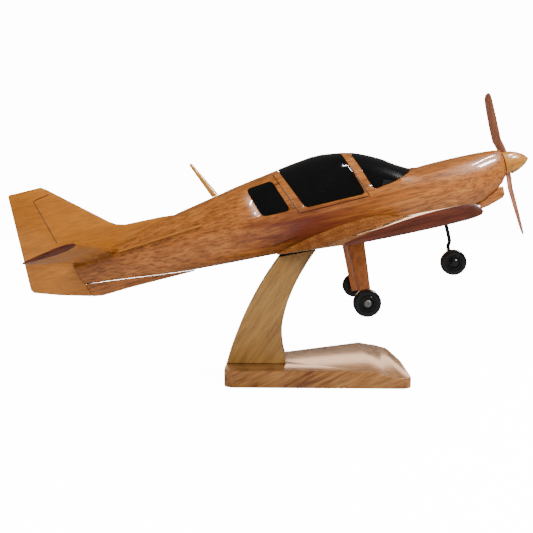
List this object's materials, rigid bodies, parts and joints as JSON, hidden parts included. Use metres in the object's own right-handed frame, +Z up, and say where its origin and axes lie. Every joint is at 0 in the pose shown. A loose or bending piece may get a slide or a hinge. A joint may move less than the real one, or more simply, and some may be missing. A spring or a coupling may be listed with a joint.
{
  "type": "propeller plane model",
  "caption": "Carved wooden desk model of a low-wing tricycle-gear trainer, nose up on a curved wooden stand, with a free propeller and free wheels.",
  "frame": {"origin": "on the base's underside and the aircraft's centre plane, 53 mm ahead of the base's back edge", "axes": "+X towards the nose, +Y to port, +Z up"},
  "size_m": [0.302, 0.426, 0.1652],
  "materials": {
    "mahogany": "clear high-gloss lacquer",
    "stand_mahogany": "clear satin lacquer",
    "dark_mahogany": "clear gloss lacquer",
    "beech": "bare or thinly lacquered",
    "black_gloss_glazing": "high gloss black",
    "black_wheel": "gloss black",
    "black_wire": "satin black enamel",
    "black_felt": "pressed felt",
    "nickel_steel": "bright nickel plate",
    "brass": "turned"
  },
  "bodies": {
    "stand": {"base_plinth": "stand_mahogany", "base_screw_front": "nickel_steel", "base_screw_rear": "nickel_steel", "felt_pad": "black_felt", "locating_pin_front": "nickel_steel", "locating_pin_rear": "nickel_steel", "stand_upright": "stand_mahogany"},
    "aircraft": {"antenna": "beech", "axle_screw_left": "nickel_steel", "axle_screw_right": "nickel_steel", "axle_washer_left": "nickel_steel", "axle_washer_right": "nickel_steel", "canopy_glass": "black_gloss_glazing", "chin_scoop": "mahogany", "fin_and_rudder": "mahogany", "fuselage": "mahogany", "main_leg_left": "dark_mahogany", "main_leg_right": "dark_mahogany", "nose_leg_collar": "beech", "nose_leg_wire": "black_wire", "nose_wheel_cap": "black_wheel", "propeller_screw": "nickel_steel", "propeller_washer": "brass", "rear_window_left": "black_gloss_glazing", "rear_window_right": "black_gloss_glazing", "shaft_bushing": "brass", "tail_strake_left": "mahogany", "tail_strake_right": "mahogany", "tailplane_left": "mahogany", "tailplane_right": "mahogany", "ventral_fin": "mahogany", "windshield": "black_gloss_glazing", "wing_dowel_front_left": "beech", "wing_dowel_front_right": "beech", "wing_dowel_rear_left": "beech", "wing_dowel_rear_right": "beech", "wing_left": "mahogany", "wing_right": "mahogany"},
    "propeller_group": {"propeller": "dark_mahogany", "spinner": "mahogany"},
    "wheel_left": {"main_wheel_left": "black_wheel"},
    "wheel_right": {"main_wheel_right": "black_wheel"},
    "wheel_nose": {"nose_wheel": "black_wheel"}
  },
  "joints": [
    {"name": "aircraft_lift", "type": "slide", "parent": "stand", "child": "aircraft", "axis": [-0.2334, 0, 0.9724], "range_m": [0, 0.03]},
    {"name": "propeller_spin", "type": "hinge", "parent": "aircraft", "child": "propeller_group", "pos_m": [0.10762, 0, 0.12452], "axis": [0.9724, 0, 0.2334], "continuous": true},
    {"name": "wheel_left_spin", "type": "hinge", "parent": "aircraft", "child": "wheel_left", "pos_m": [0.02494, 0.0425, 0.04913], "axis": [0, 1, 0], "continuous": true},
    {"name": "wheel_right_spin", "type": "hinge", "parent": "aircraft", "child": "wheel_right", "pos_m": [0.02494, -0.0425, 0.04913], "axis": [0, 1, 0], "continuous": true},
    {"name": "wheel_nose_spin", "type": "hinge", "parent": "aircraft", "child": "wheel_nose", "pos_m": [0.07895, 0, 0.06745], "axis": [0, 1, 0], "continuous": true}
  ]
}
